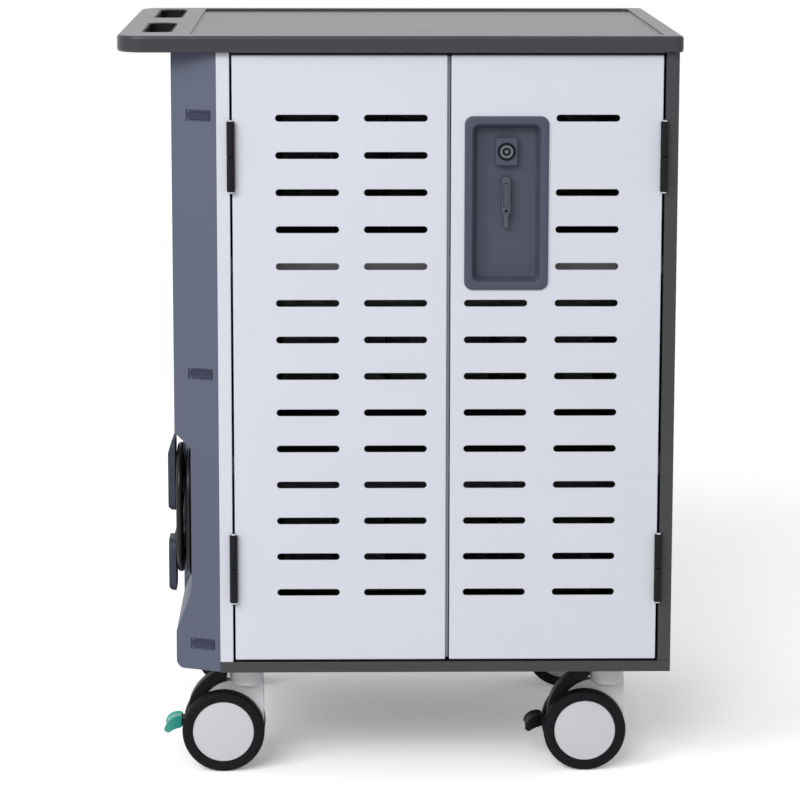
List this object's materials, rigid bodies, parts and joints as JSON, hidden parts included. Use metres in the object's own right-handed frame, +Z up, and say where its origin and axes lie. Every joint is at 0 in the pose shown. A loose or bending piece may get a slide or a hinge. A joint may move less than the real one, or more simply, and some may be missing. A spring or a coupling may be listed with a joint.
{
  "type": "laptop charging cart",
  "caption": "Steel cabinet on twin-wheel casters with a moulded push-handle top, slotted locking doors, tiers of laptop slots and a rear power bay, for charging and storing laptops.",
  "frame": {"origin": "on the floor under the middle of the worksurface", "axes": "+Z up, front doors face -Y, push handle at -X"},
  "size_m": [0.816, 0.67, 1.11],
  "materials": {
    "white_steel": "fine powder coat",
    "dark_steel": "fine powder coat",
    "grey_moulding": "fine moulded grain",
    "housing_plastic": "fine moulded grain",
    "pan_plastic": "fine moulded grain",
    "black_metal": "semi-gloss paint",
    "bright_metal": "plated",
    "black_plastic": "moulded",
    "cord_jacket": "smooth jacket",
    "tyre_rubber": "smooth tread",
    "hood_plastic": "moulded",
    "teal_plastic": "moulded"
  },
  "bodies": {
    "cabinet": {"worksurface": "grey_moulding", "base_pan": "dark_steel", "left_side_wall": "white_steel", "right_side_wall": "dark_steel", "roof_panel": "dark_steel", "middle_shelf": "white_steel", "upper_shelf": "white_steel", "power_bay_wall": "white_steel", "bottom_slot_rack": "black_plastic", "middle_slot_rack": "black_plastic", "upper_slot_rack": "black_plastic", "bottom_outlet_strip": "black_plastic", "middle_outlet_strip": "black_plastic", "upper_outlet_strip": "black_plastic", "charge_timer": "housing_plastic", "side_housing": "housing_plastic", "upper_cord_hook": "housing_plastic", "lower_cord_hook": "housing_plastic", "power_cord": "cord_jacket", "cord_gland": "black_plastic", "power_plug": "black_plastic", "left_upper_hinge_post_half": "black_metal", "left_lower_hinge_post_half": "black_metal", "right_upper_hinge_post_half": "black_metal", "right_lower_hinge_post_half": "black_metal", "rear_upper_hinge_post_half": "black_metal", "rear_lower_hinge_post_half": "black_metal", "front_left_caster_plate": "bright_metal", "front_right_caster_plate": "bright_metal", "rear_left_caster_plate": "bright_metal", "rear_right_caster_plate": "bright_metal"},
    "left_door": {"left_door": "white_steel", "left_upper_hinge_door_half": "black_metal", "left_lower_hinge_door_half": "black_metal"},
    "right_door": {"right_door": "white_steel", "right_upper_hinge_door_half": "black_metal", "right_lower_hinge_door_half": "black_metal", "lock_pan": "pan_plastic"},
    "rear_door": {"rear_door": "white_steel", "rear_upper_hinge_door_half": "black_metal", "rear_lower_hinge_door_half": "black_metal"},
    "key": {"key_cylinder": "bright_metal"},
    "latch": {"latch_handle": "black_metal", "latch_cam": "black_metal"},
    "rear_key": {"rear_key_cylinder": "bright_metal"},
    "rocker": {"timer_rocker": "black_plastic"},
    "front_left_caster": {"front_left_caster_hood": "hood_plastic"},
    "front_left_front_wheel": {"front_left_front_wheel": "tyre_rubber"},
    "front_left_rear_wheel": {"front_left_rear_wheel": "tyre_rubber"},
    "front_left_brake": {"front_left_brake_lever": "teal_plastic"},
    "front_right_caster": {"front_right_caster_hood": "hood_plastic"},
    "front_right_front_wheel": {"front_right_front_wheel": "tyre_rubber"},
    "front_right_rear_wheel": {"front_right_rear_wheel": "tyre_rubber"},
    "front_right_brake": {"front_right_brake_lever": "black_plastic"},
    "rear_left_caster": {"rear_left_caster_hood": "hood_plastic"},
    "rear_left_front_wheel": {"rear_left_front_wheel": "tyre_rubber"},
    "rear_left_rear_wheel": {"rear_left_rear_wheel": "tyre_rubber"},
    "rear_right_caster": {"rear_right_caster_hood": "hood_plastic"},
    "rear_right_front_wheel": {"rear_right_front_wheel": "tyre_rubber"},
    "rear_right_rear_wheel": {"rear_right_rear_wheel": "tyre_rubber"}
  },
  "joints": [
    {"name": "left_door_swing", "type": "hinge", "parent": "cabinet", "child": "left_door", "pos_m": [-0.24425, -0.3283, 0.634], "axis": [0, 0, -1], "range_deg": [0, 175]},
    {"name": "right_door_swing", "type": "hinge", "parent": "cabinet", "child": "right_door", "pos_m": [0.38225, -0.3283, 0.634], "axis": [0, 0, 1], "range_deg": [0, 175]},
    {"name": "rear_door_swing", "type": "hinge", "parent": "cabinet", "child": "rear_door", "pos_m": [0.38225, 0.3283, 0.634], "axis": [0, 0, -1], "range_deg": [0, 175]},
    {"name": "key_turn", "type": "hinge", "parent": "right_door", "child": "key", "pos_m": [0.15447, -0.31, 0.942], "axis": [0, 1, 0], "range_deg": [0, 90]},
    {"name": "latch_turn", "type": "hinge", "parent": "right_door", "child": "latch", "pos_m": [0.15447, -0.31, 0.868], "axis": [0, 1, 0], "range_deg": [0, 90]},
    {"name": "rear_key_turn", "type": "hinge", "parent": "rear_door", "child": "rear_key", "pos_m": [-0.2185, 0.31, 0.63425], "axis": [0, -1, 0], "range_deg": [0, 90]},
    {"name": "rocker_tilt", "type": "hinge", "parent": "cabinet", "child": "rocker", "pos_m": [-0.1887, 0.1806, 0.753], "axis": [-1, 0, 0], "range_deg": [0, 16]},
    {"name": "front_left_swivel", "type": "hinge", "parent": "cabinet", "child": "front_left_caster", "pos_m": [-0.2283, -0.237, 0.14], "axis": [0, 0, 1], "continuous": true},
    {"name": "front_left_front_wheel_spin", "type": "hinge", "parent": "front_left_caster", "child": "front_left_front_wheel", "pos_m": [-0.2633, -0.263, 0.06196], "axis": [0, 1, 0], "continuous": true},
    {"name": "front_left_rear_wheel_spin", "type": "hinge", "parent": "front_left_caster", "child": "front_left_rear_wheel", "pos_m": [-0.2633, -0.211, 0.06196], "axis": [0, 1, 0], "continuous": true},
    {"name": "front_left_brake_press", "type": "hinge", "parent": "front_left_caster", "child": "front_left_brake", "pos_m": [-0.2633, -0.2485, 0.06196], "axis": [0, -1, 0], "range_deg": [0, 12]},
    {"name": "front_right_swivel", "type": "hinge", "parent": "cabinet", "child": "front_right_caster", "pos_m": [0.316, -0.237, 0.14], "axis": [0, 0, 1], "continuous": true},
    {"name": "front_right_front_wheel_spin", "type": "hinge", "parent": "front_right_caster", "child": "front_right_front_wheel", "pos_m": [0.281, -0.263, 0.06196], "axis": [0, 1, 0], "continuous": true},
    {"name": "front_right_rear_wheel_spin", "type": "hinge", "parent": "front_right_caster", "child": "front_right_rear_wheel", "pos_m": [0.281, -0.211, 0.06196], "axis": [0, 1, 0], "continuous": true},
    {"name": "front_right_brake_press", "type": "hinge", "parent": "front_right_caster", "child": "front_right_brake", "pos_m": [0.281, -0.2485, 0.06196], "axis": [0, -1, 0], "range_deg": [0, 12]},
    {"name": "rear_left_swivel", "type": "hinge", "parent": "cabinet", "child": "rear_left_caster", "pos_m": [-0.2283, 0.237, 0.14], "axis": [0, 0, 1], "continuous": true},
    {"name": "rear_left_front_wheel_spin", "type": "hinge", "parent": "rear_left_caster", "child": "rear_left_front_wheel", "pos_m": [-0.2633, 0.211, 0.06196], "axis": [0, 1, 0], "continuous": true},
    {"name": "rear_left_rear_wheel_spin", "type": "hinge", "parent": "rear_left_caster", "child": "rear_left_rear_wheel", "pos_m": [-0.2633, 0.263, 0.06196], "axis": [0, 1, 0], "continuous": true},
    {"name": "rear_right_swivel", "type": "hinge", "parent": "cabinet", "child": "rear_right_caster", "pos_m": [0.316, 0.237, 0.14], "axis": [0, 0, 1], "continuous": true},
    {"name": "rear_right_front_wheel_spin", "type": "hinge", "parent": "rear_right_caster", "child": "rear_right_front_wheel", "pos_m": [0.281, 0.211, 0.06196], "axis": [0, 1, 0], "continuous": true},
    {"name": "rear_right_rear_wheel_spin", "type": "hinge", "parent": "rear_right_caster", "child": "rear_right_rear_wheel", "pos_m": [0.281, 0.263, 0.06196], "axis": [0, 1, 0], "continuous": true}
  ]
}
